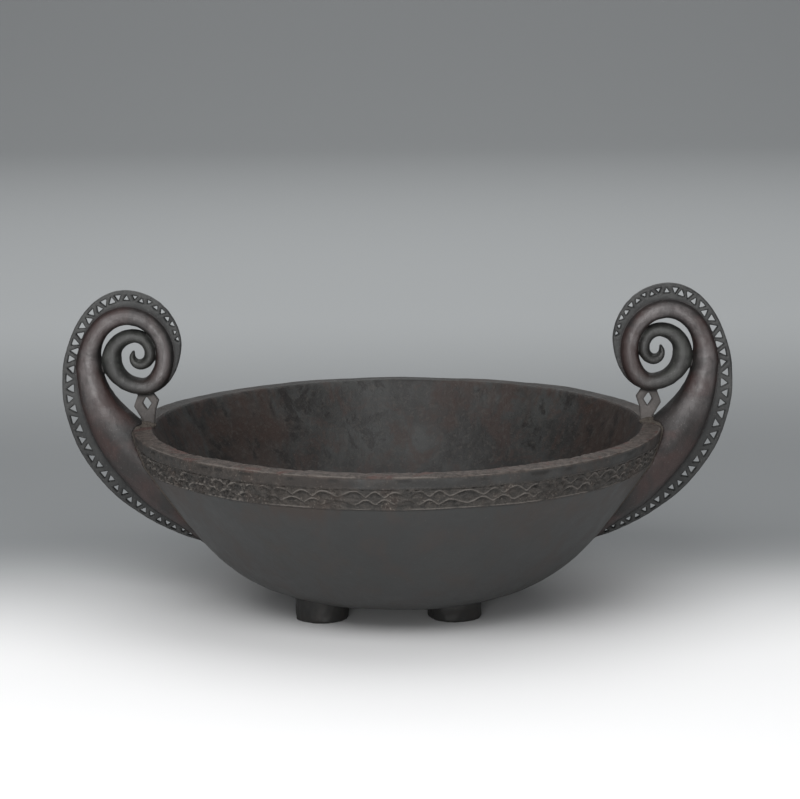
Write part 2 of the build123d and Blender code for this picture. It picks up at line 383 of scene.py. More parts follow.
def section_curve(heights, rows):
    """Smooth curve through table rows (height first), read at the given heights."""
    table = np.array(rows, float)
    knots = table[:, 0]
    slopes = np.gradient(table[:, 1:], knots, axis=0)
    heights = np.clip(heights, knots[0], knots[-1])
    index = np.clip(np.searchsorted(knots, heights) - 1, 0, len(knots) - 2)
    span = (knots[index + 1] - knots[index])[:, None]
    t = (heights[:, None] - knots[index][:, None]) / span
    a, b = table[index, 1:], table[index + 1, 1:]
    sa, sb = slopes[index] * span, slopes[index + 1] * span
    return (
        (2 * t**3 - 3 * t**2 + 1) * a
        + (t**3 - 2 * t**2 + t) * sa
        + (3 * t**2 - 2 * t**3) * b
        + (t**3 - t**2) * sb
    )


# ---- distance fields ----


def polygon_distance(u, v, corners):
    """Signed distance to a polygon, negative inside, over arrays of plane coordinates."""
    corners = np.array(corners, float)
    nearest = np.full(u.shape, np.inf)
    inside = np.zeros(u.shape, bool)
    for (au, av), (bu, bv) in zip(corners, np.roll(corners, -1, axis=0)):
        du, dv = bu - au, bv - av
        share = np.clip(((u - au) * du + (v - av) * dv) / (du * du + dv * dv), 0, 1)
        nearest = np.minimum(nearest, (u - au - share * du) ** 2 + (v - av - share * dv) ** 2)
        crosses = (av > v) != (bv > v)
        with np.errstate(divide="ignore", invalid="ignore"):
            inside ^= crosses & (u < au + (v - av) * du / dv)
    return np.sqrt(nearest) * np.where(inside, -1, 1)


def soft_min(a, b, reach):
    """The lower of two fields, rounded off where they differ by less than reach."""
    overlap = np.maximum(reach - np.abs(a - b), 0) / reach
    return np.minimum(a, b) - overlap**2 * reach / 4


def soft_max(a, b, reach):
    return -soft_min(-a, -b, reach)


def summed_at(index, rows, count):
    """For each number below count, the sum of the rows that have it as their index."""
    return np.stack([np.bincount(index, column, minlength=count) for column in rows.T], 1)


def surface_net(field, origin, step):
    """Vertices and quads of the surface where a field on a regular grid crosses zero."""
    cells = np.array(field.shape) - 1
    strides = np.array([cells[1] * cells[2], cells[2], 1])
    total = np.zeros((cells.prod(), 3))
    count = np.zeros(cells.prod())
    quads = []
    for axis in range(3):
        across = [other for other in range(3) if other != axis]
        first = np.moveaxis(field, axis, 0)
        below, above = first[:-1], first[1:]
        crossed = (below < 0) != (above < 0)
        crossed[:, 0, :] = crossed[:, -1, :] = False
        crossed[:, :, 0] = crossed[:, :, -1] = False
        where = np.argwhere(crossed)
        low, high = below[crossed], above[crossed]
        index = np.zeros((len(where), 3), int)
        index[:, axis] = where[:, 0]
        index[:, across[0]] = where[:, 1]
        index[:, across[1]] = where[:, 2]
        point = index.astype(float)
        point[:, axis] += low / (low - high)
        corners = []
        for shift in ((0, 0), (-1, 0), (-1, -1), (0, -1)):
            cell = index.copy()
            cell[:, across[0]] += shift[0]
            cell[:, across[1]] += shift[1]
            flat = cell @ strides
            total += summed_at(flat, point, len(total))
            count += np.bincount(flat, minlength=len(count))
            corners.append(flat)
        quad = np.stack(corners, 1)
        turned = (low < 0) if axis != 1 else (low >= 0)
        quad[turned] = quad[turned][:, ::-1]
        quads.append(quad)
    quads = np.vstack(quads)
    used = np.flatnonzero(count)
    number = np.full(len(count), -1)
    number[used] = np.arange(len(used))
    vertices = total[used] / count[used][:, None] * step + origin
    return vertices, number[quads]


def sampled(field, places):
    """A grid field's values at fractional places, blended between the eight nearest points."""
    base = np.clip(places.astype(int), 0, np.array(field.shape) - 2)
    part = places - base
    total = np.zeros(len(places))
    for corner in np.ndindex(2, 2, 2):
        weight = np.prod(np.where(corner, part, 1 - part), axis=1)
        x, y, z = (base + corner).T
        total += weight * field[x, y, z]
    return total


# ---- meshes ----


def make_object(name, vertices, faces, material):
    """A smooth-shaded mesh object from points in millimetres."""
    mesh = bpy.data.meshes.new(name)
    mesh.from_pydata((np.asarray(vertices) * MM).tolist(), [], faces)
    mesh.update()
    mesh.shade_smooth()
    mesh.materials.append(material)
    piece = bpy.data.objects.new(name, mesh)
    bpy.context.scene.collection.objects.link(piece)
    return piece


def set_attribute(piece, name, values):
    attribute = piece.data.attributes.new(name, "FLOAT", "POINT")
    attribute.data.foreach_set("value", np.asarray(values, np.float32).ravel())


def vertex_normals(vertices, quads):
    """Normals at each vertex, from the quads' diagonals."""
    a, b, c, d = (vertices[quads[:, corner]] for corner in range(4))
    face_normals = np.cross(c - a, d - b)
    normals = np.zeros_like(vertices)
    for corner in range(4):
        normals += summed_at(quads[:, corner], face_normals, len(vertices))
    return normals / np.maximum(np.linalg.norm(normals, axis=1, keepdims=True), 1e-9)


def smoothed(vertices, quads, share, rounds):
    """The vertices drawn towards their neighbours' middle, each by its own share."""
    count = np.zeros(len(vertices))
    for corner in range(4):
        count += 2 * np.bincount(quads[:, corner], minlength=len(vertices))
    for _ in range(rounds):
        total = np.zeros_like(vertices)
        for corner in range(4):
            beside = vertices[quads[:, corner - 1]] + vertices[quads[:, (corner + 1) % 4]]
            total += summed_at(quads[:, corner], beside, len(vertices))
        vertices = vertices + share[:, None] * (total / count[:, None] - vertices)
    return vertices


# ---- materials ----


class Surface:
    """A material, with a short call for each kind of node that is used here."""

    def __init__(self, name):
        self.material = bpy.data.materials.new(name)
        self.material.use_nodes = True
        self.tree = self.material.node_tree
        self.shader = self.tree.nodes["Principled BSDF"]
        self.place = self.node("ShaderNodeTexCoord", "Object", {})

    def feed(self, value, socket):
        """Links a node's output to a socket, or sets the socket to a plain value."""
        if isinstance(value, bpy.types.NodeSocket):
            self.tree.links.new(value, socket)
        else:
            socket.default_value = value

    def node(self, kind, output, inputs, **settings):
        """Adds a node with these inputs and settings, and gives back one of its outputs."""
        node = self.tree.nodes.new(kind)
        for key, value in settings.items():
            setattr(node, key, value)
        for key, value in inputs.items():
            self.feed(value, node.inputs[key])
        return node.outputs[output]

    def attribute(self, name):
        return self.node("ShaderNodeAttribute", "Fac", {}, attribute_name=name)

    def noise(self, size, detail=5.0, roughness=0.55, stretch=(1, 1, 1), warp=0.0):
        """Cloudy noise with features of about the given size in metres."""
        place = self.node("ShaderNodeMapping", "Vector", {"Vector": self.place, "Scale": stretch})
        return self.node("ShaderNodeTexNoise", "Fac", {
            "Vector": place,
            "Scale": 1 / size,
            "Detail": detail,
            "Roughness": roughness,
            "Distortion": warp,
        })

    def span(self, value, low, high, to_low=0.0, to_high=1.0):
        """The value taken from low..high to to_low..to_high, with an even start and end."""
        inputs = {
            "Value": value, "From Min": low, "From Max": high, "To Min": to_low, "To Max": to_high,
        }
        return self.node("ShaderNodeMapRange", "Result", inputs, interpolation_type="SMOOTHSTEP")

    def math(self, operation, a, b):
        return self.node("ShaderNodeMath", "Value", {0: a, 1: b}, operation=operation)

    def product(self, a, b):
        return self.math("MULTIPLY", a, b)

    def total(self, first, *others):
        for other in others:
            first = self.math("ADD", first, other)
        return first

    def mix(self, share, a, b):
        """Colour a where share is 0, colour b where it is 1."""
        inputs = {"Factor": share, "A": a, "B": b}
        return self.node("ShaderNodeMix", "Result", inputs, data_type="RGBA")

    def layered(self, shade, layers):
        """A colour with other colours laid over it in turn, each by its own share."""
        for share, tint in layers:
            shade = self.mix(share, shade, tint)
        return shade

    def set_bumps(self, layers):
        """Bumps the surface by each layer in turn: its pattern, and its height in metres."""
        below = {}
        for pattern, height in layers:
            inputs = {"Height": pattern, "Distance": height, **below}
            below = {"Normal": self.node("ShaderNodeBump", "Normal", inputs)}
        self.feed(below["Normal"], self.shader.inputs["Normal"])

    def finish(self, shade, roughness, specular):
        self.feed(shade, self.shader.inputs["Base Color"])
        self.feed(roughness, self.shader.inputs["Roughness"])
        self.shader.inputs["Specular IOR Level"].default_value = specular
        return self.material


def colour(red, green, blue):
    return (red, green, blue, 1.0)


BELLY_DARK = colour(0.0235, 0.0245, 0.0243)
BELLY_LIGHT = colour(0.0360, 0.0370, 0.0367)
BELLY_BROWN = colour(0.046, 0.035, 0.030)
BELLY_STREAK = colour(0.022, 0.020, 0.019)
BELLY_STAIN = colour(0.036, 0.026, 0.021)
CAVITY_DARK = colour(0.013, 0.0122, 0.0115)
CAVITY_LIGHT = colour(0.035, 0.0362, 0.0352)
CAVITY_RED = colour(0.038, 0.020, 0.0155)
CAVITY_STAIN = colour(0.0265, 0.0145, 0.0105)
CAVITY_BLACK = colour(0.009, 0.0075, 0.007)
CAVITY_STREAK = colour(0.012, 0.010, 0.009)
CAVITY_CRUMBS = colour(0.046, 0.041, 0.036)
RIM_DARK = colour(0.038, 0.030, 0.026)
RIM_LIGHT = colour(0.082, 0.066, 0.057)
RIM_RED = colour(0.075, 0.031, 0.026)
BAND_DARK = colour(0.018, 0.016, 0.014)
BAND_LIGHT = colour(0.045, 0.039, 0.034)
BAND_BROWN = colour(0.045, 0.030, 0.024)
BOWL_WORN_AND_HIGHLIGHT = colour(0.135, 0.122, 0.110)
BOWL_GRIME_AND_SHADE = colour(0.010, 0.009, 0.008)
BOWL_GRIT = colour(0.16, 0.14, 0.12)
BOWL_SPECKS = colour(0.11, 0.10, 0.088)


def bowl_wood():
    """Dark brown-black wood: worn rim, crusty band, smooth belly and mottled cavity, with painted
    highlight and painted shade carried in its wear look.
    """
    wood = Surface("bowl_wood")
    inside = wood.attribute("inside")
    crust = wood.attribute("crust")
    rim = wood.attribute("rim")
    wear_and_painted_light = wood.attribute("wear_and_painted_light")
    stain = wood.product(wood.attribute("stain"), 0.7)
    clouds = wood.noise(0.11, detail=6)
    patches = wood.noise(0.045, detail=7, roughness=0.68, stretch=(1, 1, 0.7), warp=0.4)
    streaks = wood.noise(0.009, detail=5, stretch=(1, 1, 0.15), warp=0.2)
    crumbs = wood.noise(0.008, detail=6, roughness=0.7)
    specks = wood.noise(0.0028, detail=3)
    tool_marks = wood.noise(0.020, detail=2, stretch=(1, 1, 0.45))

    belly = wood.layered(wood.mix(clouds, BELLY_DARK, BELLY_LIGHT), (
        (wood.span(patches, 0.46, 0.66, 0, 0.4), BELLY_BROWN),
        (wood.span(streaks, 0.55, 0.75, 0, 0.3), BELLY_STREAK),
        (stain, BELLY_STAIN),
    ))
    cavity = wood.layered(wood.mix(wood.span(clouds, 0.38, 0.62), CAVITY_DARK, CAVITY_LIGHT), (
        (wood.span(patches, 0.47, 0.60, 0, 0.5), CAVITY_RED),
        (stain, CAVITY_STAIN),
        (wood.span(patches, 0.46, 0.37, 0, 0.85), CAVITY_BLACK),
        (wood.span(streaks, 0.55, 0.75, 0, 0.35), CAVITY_STREAK),
        (wood.span(crumbs, 0.50, 0.66, 0, 0.5), CAVITY_CRUMBS),
    ))
    rim_wood = wood.mix(wood.span(crumbs, 0.4, 0.6), RIM_DARK, RIM_LIGHT)
    rim_wood = wood.mix(wood.span(patches, 0.52, 0.60, 0, 0.6), rim_wood, RIM_RED)
    band = wood.mix(wood.span(crumbs, 0.38, 0.62), BAND_DARK, BAND_LIGHT)
    band = wood.mix(wood.span(patches, 0.5, 0.66, 0, 0.5), band, BAND_BROWN)
    grit = wood.product(wood.span(specks, 0.56, 0.66), wood.span(patches, 0.45, 0.6))
    shade = wood.layered(wood.mix(inside, belly, cavity), (
        (wood.product(crust, 0.8), band),
        (rim, rim_wood),
        # pale where worn, and as painted highlight on the ribs and the rim's edge; dark where grimy, and
        # as painted shade in the pits, under the rim and on the feet
        (wood.span(wear_and_painted_light, 0.25, 0.9, 0, 0.65), BOWL_WORN_AND_HIGHLIGHT),
        (wood.span(wear_and_painted_light, 0.0, -0.8, 0, 0.85), BOWL_GRIME_AND_SHADE),
        (wood.product(grit, wood.product(crust, 0.6)), BOWL_GRIT),
        (wood.span(specks, 0.66, 0.74, 0, 0.35), BOWL_SPECKS),
    ))
    roughness = wood.total(
        wood.span(patches, 0.3, 0.7, 0.46, 0.58),
        wood.product(crust, 0.12),
        wood.product(rim, 0.12),
    )
    coarseness = wood.total(
        wood.product(crust, 0.9),
        wood.product(rim, 0.8),
        wood.product(inside, 0.25),
        0.08,
    )
    wood.set_bumps((
        (tool_marks, 0.0008),
        (streaks, 0.0002),
        (wood.product(crumbs, coarseness), 0.0022),
        (wood.product(specks, coarseness), 0.0008),
    ))
    return wood.finish(shade, roughness, specular=0.33)


HANDLE_BLACK = colour(0.0125, 0.0120, 0.0115)
HANDLE_BROWN = colour(0.0195, 0.0145, 0.0135)
HANDLE_RED = colour(0.0320, 0.0170, 0.0150)
HANDLE_CROWN_HIGHLIGHT = colour(0.104, 0.092, 0.091)
HANDLE_GRAIN = colour(0.0140, 0.0120, 0.0115)
HANDLE_SPECKS = colour(0.15, 0.14, 0.135)
INNER_TURN_DARK = colour(0.0140, 0.0152, 0.0138)
INNER_TURN_LIGHT = colour(0.0380, 0.0400, 0.0365)
CREST_DARK = colour(0.0165, 0.0170, 0.0170)
CREST_LIGHT = colour(0.0430, 0.0440, 0.0430)
CREST_LOW = colour(0.012, 0.013, 0.013)
STRUT_DARK = colour(0.056, 0.050, 0.047)
STRUT_LIGHT = colour(0.100, 0.090, 0.085)
CREVICE_SHADE = colour(0.010, 0.009, 0.009)


def handle_wood():
    """Brown-black wood polished by hands, greyer on the crest, the strut and the inner turn, with a
    painted highlight on the scroll's front-facing crown and painted shade along the crest's junction and
    on steep sides.
    """
    wood = Surface("handle_wood")
    crest = wood.attribute("crest")
    crown = wood.attribute("crown")
    polish = wood.attribute("polish")
    inner = wood.attribute("inner")
    strut = wood.attribute("strut")
    crevice = wood.attribute("crevice")
    unpolished = wood.math("SUBTRACT", 1.0, polish)
    clouds = wood.noise(0.06, detail=5, warp=0.5)
    blotches = wood.noise(0.028, detail=6, roughness=0.65, warp=0.4)
    grain = wood.noise(0.006, detail=6, stretch=(1, 1, 0.16), warp=0.5)
    specks = wood.noise(0.0022, detail=3)

    crown_highlight_patches = wood.span(blotches, 0.62, 0.40, 0.4, 0.95)
    inner_turn = wood.mix(wood.span(blotches, 0.45, 0.62), INNER_TURN_DARK, INNER_TURN_LIGHT)
    body = wood.layered(wood.mix(wood.span(clouds, 0.36, 0.52), HANDLE_BLACK, HANDLE_BROWN), (
        (wood.span(clouds, 0.46, 0.60), HANDLE_RED),
        # the polished crown facing the front is painted lighter: painted highlight
        (wood.product(wood.product(crown, polish), crown_highlight_patches), HANDLE_CROWN_HIGHLIGHT),
        (wood.span(grain, 0.5, 0.75, 0, 0.5), HANDLE_GRAIN),
        (wood.product(inner, 0.88), inner_turn),
    ))
    plate_patches = wood.span(blotches, 0.35, 0.65)
    plate = wood.layered(wood.mix(plate_patches, CREST_DARK, CREST_LIGHT), (
        (wood.product(unpolished, 0.4), CREST_LOW),
        (strut, wood.mix(plate_patches, STRUT_DARK, STRUT_LIGHT)),
    ))
    shade = wood.layered(wood.mix(crest, body, plate), (
        # painted shade along the crest's junction with the scroll and stem, and on their steep sides
        (wood.product(crevice, 0.85), CREVICE_SHADE),
        (wood.span(specks, 0.62, 0.72, 0, 0.4), HANDLE_SPECKS),
    ))
    roughness = wood.total(
        wood.span(blotches, 0.35, 0.65, 0.34, 0.42),
        wood.product(wood.span(grain, 0.4, 0.7), 0.06),
        wood.product(unpolished, 0.16),
        wood.product(inner, 0.12),
        wood.product(crest, 0.22),
        wood.product(crevice, 0.3),
    )
    wood.set_bumps(((blotches, 0.0012), (grain, 0.0005), (specks, 0.0003)))
    return wood.finish(shade, roughness, specular=0.5)


PASTE_DARK = colour(0.046, 0.039, 0.033)
PASTE_LIGHT = colour(0.078, 0.067, 0.057)
PASTE_CRUMBS = colour(0.11, 0.092, 0.077)


def nut_paste():
    """Hardened brown nut paste, matt and crumbly."""
    paste = Surface("nut_paste")
    crumbs = paste.noise(0.0025, detail=4)
    clouds = paste.noise(0.02)
    shade = paste.mix(clouds, PASTE_DARK, PASTE_LIGHT)
    shade = paste.mix(paste.span(crumbs, 0.55, 0.7, 0, 0.5), shade, PASTE_CRUMBS)
    paste.set_bumps(((crumbs, 0.001),))
    return paste.finish(shade, roughness=0.85, specular=0.25)


FLOOR_WHITE = colour(0.88, 0.88, 0.88)
FLOOR_GREY = colour(0.235, 0.245, 0.25)
SWEEP_PALE = colour(0.43, 0.445, 0.45)
WALL_GREY = colour(0.31, 0.32, 0.325)


def floor_painted_light():
    """A plain studio sweep, painted white where the object stands and greyer behind: painted light for
    the studio lamps' fall-off.
    """
    paint = Surface("floor_painted_light")
    depth, height = (
        paint.node("ShaderNodeSeparateXYZ", axis, {"Vector": paint.place}) for axis in "YZ"
    )
    along = paint.total(depth, height)
    # white at the front to grey behind, paler up the sweep, grey on the wall: painted light
    shade = paint.layered(FLOOR_WHITE, (
        (paint.span(along, -0.36, 0.42), FLOOR_GREY),
        (paint.span(along, 0.9, 2.6), SWEEP_PALE),
        (paint.span(along, 3.0, 8.0), WALL_GREY),
    ))
    return paint.finish(shade, roughness=0.95, specular=0.1)


# ---- the bowl ----


def bowl_rows():
    """The bowl's outline from the belly's middle over the rim to the cavity's middle.

    Each row is radius, height, whether it is finely divided, and its band position
    (0 at the band's foot, 1 at its top, below 0 off the band)."""
    rows = []
    for radius, height in bezier(BELLY_CURVE, BELLY_ROWS, first=BELLY_START):
        rows.append((radius, height, 0, -1))
    for radius, height in BAND_LEDGE:
        rows.append((radius, height, 1, -1))
    inset, border = BAND_INSET
    for share in np.linspace(0, 1, BAND_ROWS):
        radius = BAND_BOTTOM[0] + inset + share * (BAND_TOP[0] - BAND_BOTTOM[0] - inset)
        height = BAND_BOTTOM[1] + border + share * (BAND_TOP[1] - BAND_BOTTOM[1] - 2 * border)
        rows.append((radius, height, 1, share))
    rows.append((BAND_TOP[0] - GROOVE_DEPTH, BAND_TOP[1], 1, -1))
    collar_foot = BAND_TOP[1] + GROOVE_WIDTH
    for share in np.linspace(0, 1, COLLAR_ROWS):
        radius = BAND_TOP[0] + GROOVE_DEPTH + share * COLLAR_FLARE
        rows.append((radius, collar_foot + share * (COLLAR_TOP - collar_foot), 1, -1))
    edge_radius = COLLAR_RADIUS - RIM_ROUNDING
    edge_height = RIM_HEIGHT - RIM_FALL - RIM_ROUNDING
    for angle in np.radians(RIM_ROUNDING_ANGLES):
        radius = edge_radius + RIM_ROUNDING * math.cos(angle)
        height = edge_height + RIM_ROUNDING * math.sin(angle)
        rows.append((radius, height, 1, -1))
    for share in np.linspace(0, 1, RIM_ROWS + 1)[1:]:
        radius = edge_radius + share * (RIM_INNER_RADIUS + RIM_INNER_ROUNDING - edge_radius)
        rows.append((radius, RIM_HEIGHT - RIM_FALL * (1 - share), 1, -1))
    corner_out, corner_down = RIM_INNER_CORNER
    rows.append((RIM_INNER_RADIUS + corner_out, RIM_HEIGHT - corner_down, 1, -1))
    for radius, height in bezier(CAVITY_CURVE, LIP_ROWS, *LIP_SHARES):
        rows.append((radius, height - corner_down, 1, -1))
    for radius, height in bezier(CAVITY_CURVE, CAVITY_ROWS, *CAVITY_SHARES):
        rows.append((radius, height, 0, -1))
    return np.array(rows)


def rib(position, middle, width):
    """A rounded rib's height, from 0 to 1, across the band."""
    return np.exp(-(((position - middle) / width) ** 2))


def drift(turn, waves):
    """The sum of slow sine waves round the bowl."""
    total = 0.0
    for height, rate, start in waves:
        total = total + height * np.sin(turn * rate + start)
    return total


def band_relief(turn, share):
    """The carving round the bowl (in teeth) and up the band: its height, and its look, with the ribs and
    the band's foot paler, as wear and painted highlight, and the pits darker, as grime and painted
    shade.
    """
    teeth = turn + drift(turn, TOOTH_DRIFT)
    sharpness = RIB_SHARPNESS + drift(turn, SHARPNESS_DRIFT)
    upper_wave = np.abs(np.sin(math.pi * teeth)) ** sharpness * 2 - 1
    lower_wave = np.abs(np.sin(math.pi * (teeth + 0.5))) ** sharpness * 2 - 1
    ribs = 0.0
    pits = 0.0
    for wave, (middle, swing), (below, width, least), waves in (
        (upper_wave, UPPER_RIB, UPPER_PIT, UPPER_DRIFT),
        (lower_wave, LOWER_RIB, LOWER_PIT, LOWER_DRIFT),
    ):
        position = middle + swing * wave + drift(turn, waves)
        ribs = np.maximum(ribs, rib(share, position, RIB_WIDTH))
        pits = pits + rib(share, position - below, width) * (wave > least)
    top_width, top_depth = TOP_PIT
    pits = np.clip(pits + top_depth * rib(share, 1.0, top_width), 0, 1)
    edge = rib(share, 0.0, EDGE_RIB_WIDTH)
    height = RIB_HEIGHT * ribs - PIT_DEPTH * pits + EDGE_RIB_HEIGHT * edge - GROUND_DEPTH
    # the ribs and the band's foot come out paler, as wear and painted highlight, and the pits darker, as
    # grime and painted shade
    return height, np.maximum(ribs, edge) - PIT_SHADE_AND_GRIME * pits


def chips(angles, seed, count, depth, width):
    """Notches knocked out of an edge at random places round the rim."""
    random = np.random.default_rng(SEED + seed)
    total = np.zeros(len(angles))
    for _ in range(count):
        place = random.uniform(0, 2 * math.pi)
        away = (angles - place + math.pi) % (2 * math.pi) - math.pi
        reach = width * random.uniform(*CHIP_WIDTH_SPREAD) / RIM_RADIUS
        deep = depth * random.uniform(*CHIP_DEPTH_SPREAD)
        total = np.maximum(total, deep * np.exp(-((away / reach) ** 2)))
    return total


def bowl_ring(row, outward, is_cavity, theta, outer_chips, inner_chips):
    """One ring of the bowl, carved, worn and chipped, and its share of each look."""
    radius, height, _, band_share = row
    ring = np.stack([radius * np.cos(theta), radius * np.sin(theta), np.full(len(theta), height)], 1)
    to_front, to_left = -np.sin(theta), -np.cos(theta)
    used_side = LEAST_USE + (1 - LEAST_USE) * smooth_step(to_front, *USED_FRONT)
    gritty_side = smooth_step(to_left, *GRITTY_LEFT) * smooth_step(to_front, *GRITTY_FRONT)

    broken = smooth_step(rippled(ring, BREAKS, GRITTIER_BREAKS * gritty_side), *BREAK_START)
    undercut = rib(height, RIM_HEIGHT - UNDERCUT_DROP, UNDERCUT_WIDTH) * (not is_cavity) * broken
    foot_start, foot_end, top_start, top_end = COLLAR_ZONE
    above_foot = smooth_step(height, foot_start, foot_end)
    on_collar = above_foot * (1 - smooth_step(height, top_start, top_end)) * (not is_cavity)
    undercut_depth = UNDERCUT_DEPTH[0] + UNDERCUT_DEPTH[1] * gritty_side
    lift = rippled(ring, HAND_CARVING) - undercut_depth * undercut
    # painted shadow in the broken-out groove under the rim's edge, and the collar painted darker
    worn_and_painted_light = -UNDERCUT_SHADOW * undercut - COLLAR_DARKENING[0] * on_collar * (1 - COLLAR_DARKENING[1] * gritty_side)
    if band_share >= 0:
        relief, worn_and_painted_light = band_relief(theta * TOOTH_COUNT / (2 * math.pi), band_share)
        band_grit = BAND_GRIT[0] + BAND_GRIT[1] * gritty_side
        lift = lift + relief + band_grit * ripple(ring, *BAND_GRIT_RIPPLE)
        worn_and_painted_light = worn_and_painted_light + GRIT_WEAR * gritty_side * ripple(ring, *GRIT_WEAR_RIPPLE)

    near_rim = smooth_step(height, *NEAR_RIM)
    start, full = OUTER_CHIP_REACH
    on_outer_edge = near_rim * smooth_step(radius, RIM_RADIUS - start, RIM_RADIUS - full)
    full, end = INNER_CHIP_REACH
    past_inner_edge = smooth_step(radius, RIM_INNER_RADIUS + full, RIM_INNER_RADIUS + end)
    chipped = on_outer_edge * outer_chips + near_rim * (1 - past_inner_edge) * inner_chips
    rim_dents = RIM_DENTS * near_rim * used_side * ripple(ring, *RIM_DENT_RIPPLE)
    lift = lift - chipped * used_side + rim_dents
    ring[:, 0] += lift * outward[0] * np.cos(theta)
    ring[:, 1] += lift * outward[0] * np.sin(theta)
    ring[:, 2] += lift * outward[1]

    collar_smoothness = COLLAR_SMOOTHNESS[0] - COLLAR_SMOOTHNESS[1] * gritty_side
    smooth_collar = smooth_step(height, *SMOOTH_COLLAR) * collar_smoothness
    on_rim = smooth_step(height, *RIM_TOP) * (not is_cavity)
    near_band = smooth_step(height, *STAIN_FOOT) * (not is_cavity)
    to_side = np.abs(np.cos(theta))
    stained = rippled(ring, STAINS) + SIDE_STAINS[0] * (to_side - SIDE_STAINS[1])
    # the rim's outer edge is painted pale: painted highlight
    edge_drop, edge_height, edge_inset, edge_width = OUTER_EDGE
    outer_edge = rib(height, RIM_HEIGHT - edge_drop, edge_height)
    outer_edge = outer_edge * rib(radius, COLLAR_RADIUS - edge_inset, edge_width)
    # the rim top is painted darker towards the back
    worn_and_painted_light = worn_and_painted_light - BACK_RIM_DARKENING * on_rim * (1 - used_side) + outer_edge
    looks = {
        "inside": np.full(len(theta), float(is_cavity)),
        "crust": smooth_step(height, *CRUST_FOOT) * (1 - smooth_collar) * (not is_cavity),
        "rim": on_rim * used_side,
        "wear_and_painted_light": worn_and_painted_light * smooth_step(ripple(ring, *WEAR_RIPPLE), *WEAR_START),
        "stain": (near_band + CAVITY_STAIN_SHARE * is_cavity) * smooth_step(stained, *STAIN_START),
    }
    return ring, looks


def ring_faces(below, above, below_start, above_start):
    """Faces between two rings with as many points, or with a quarter or four times as many."""
    faces = []
    for step in range(min(below, above)):
        after = (step + 1) % min(below, above)
        fine_steps = range(step * COARSE_EVERY, (step + 1) * COARSE_EVERY + 1)
        if below == above:
            lower = [below_start + step, below_start + after]
            upper = [above_start + after, above_start + step]
        elif below < above:
            lower = [below_start + step, below_start + after]
            upper = [above_start + fine % above for fine in reversed(fine_steps)]
        else:
            lower = [below_start + fine % below for fine in fine_steps]
            upper = [above_start + after, above_start + step]
        faces.append(lower + upper)
    return faces


def build_bowl(material):
    rows = bowl_rows()
    slope = np.gradient(rows[:, :2], axis=0)
    outward = np.stack([slope[:, 1], -slope[:, 0]], 1)
    outward /= np.linalg.norm(outward, axis=1, keepdims=True)
    angles = np.arange(FINE_STEPS) * 2 * math.pi / FINE_STEPS
    outer_chips = chips(angles, 1, *OUTER_CHIPS)
    inner_chips = chips(angles, 2, *INNER_CHIPS)
    top_row = int(np.argmax(rows[:, 1]))
    rings, looks = [], []
    for number, row in enumerate(rows):
        picked = slice(None) if row[2] else slice(None, None, COARSE_EVERY)
        chip_depths = outer_chips[picked], inner_chips[picked]
        ring, ring_looks = bowl_ring(
            row, outward[number], number > top_row, angles[picked], *chip_depths
        )
        rings.append(ring)
        looks.append(ring_looks)

    sizes = [len(ring) for ring in rings]
    starts = [0] + np.cumsum(sizes).tolist()
    faces = []
    for number in range(len(rows) - 1):
        faces += ring_faces(sizes[number], sizes[number + 1], starts[number], starts[number + 1])
    faces.append(list(range(sizes[0]))[::-1])
    faces.append(list(range(starts[-2], starts[-1])))
    piece = make_object("bowl_carved", np.vstack(rings), faces, material)
    for name in looks[0]:
        set_attribute(piece, name, np.concatenate([ring_looks[name] for ring_looks in looks]))
    return piece


def build_foot(name, x, y, material):
    """A stub foot: a short round post with a worn lower edge, its top inside the belly."""
    outline = [(FOOT_RADIUS - FOOT_SOLE_INSET, FOOT_SOLE)]
    for angle in np.radians(np.linspace(0, 90, 6)):
        outline.append((
            FOOT_RADIUS - FOOT_ROUNDING + FOOT_ROUNDING * math.sin(angle),
            FOOT_SOLE + FOOT_ROUNDING - FOOT_ROUNDING * math.cos(angle),
        ))
    for share in np.linspace(0, 1, FOOT_SIDE_ROWS + 1)[1:]:
        height = FOOT_SOLE + FOOT_ROUNDING + share * (FOOT_TOP - FOOT_ROUNDING)
        outline.append((FOOT_RADIUS + FOOT_FLARE * share**2, height))
    theta = np.arange(FOOT_STEPS) * 2 * math.pi / FOOT_STEPS
    rings = []
    for radius, height in outline:
        level = np.full(FOOT_STEPS, height)
        ring = np.stack([x + radius * np.cos(theta), y + radius * np.sin(theta), level], 1)
        wobble = rippled(ring, FOOT_WOBBLE)
        ring[:, 0] += wobble * np.cos(theta)
        ring[:, 1] += wobble * np.sin(theta)
        rings.append(ring)
    last = (len(rings) - 1) * FOOT_STEPS
    faces = [list(range(FOOT_STEPS))[::-1], list(range(last, last + FOOT_STEPS))]
    for start in range(0, last, FOOT_STEPS):
        faces += ring_faces(FOOT_STEPS, FOOT_STEPS, start, start + FOOT_STEPS)
    return make_object(name, np.vstack(rings), faces, material)


# ---- the handles ----


def crest_edge():
    """The crest's outer edge from its lower tip to where it runs into the scroll."""
    slope = math.radians(CREST_TIP_SLOPE)
    side = CREST_EDGE_TURNS[0]
    tip_control = (
        CREST_TIP[0] + CREST_TIP_REACH * math.cos(slope),
        CREST_TIP[1] + CREST_TIP_REACH * math.sin(slope),
    )
    side_control = (side[0], side[1] - CREST_SIDE_REACH)
    rise = bezier((CREST_TIP, tip_control, side_control, side), CREST_RISE_STEPS)
    return np.vstack([rise[:-1], quarter_turns(CREST_EDGE_TURNS, CREST_TURN_STEPS)])


def piercing_places(last):
    """Where along the crest the piercings stand, further apart on its widest stretch."""
    shares = np.linspace(0, 1, PIERCING_TABLE)
    middle, reach, widening = PIERCING_SIDE
    counted = np.cumsum(1 / (1 + widening * np.exp(-(((shares - middle) / reach) ** 2))))
    counted = (counted - counted[0]) / (counted[-1] - counted[0])
    places = np.interp(np.linspace(0, 1, PIERCING_COUNT), counted, shares)
    return PIERCING_START + places * (last - PIERCING_START)


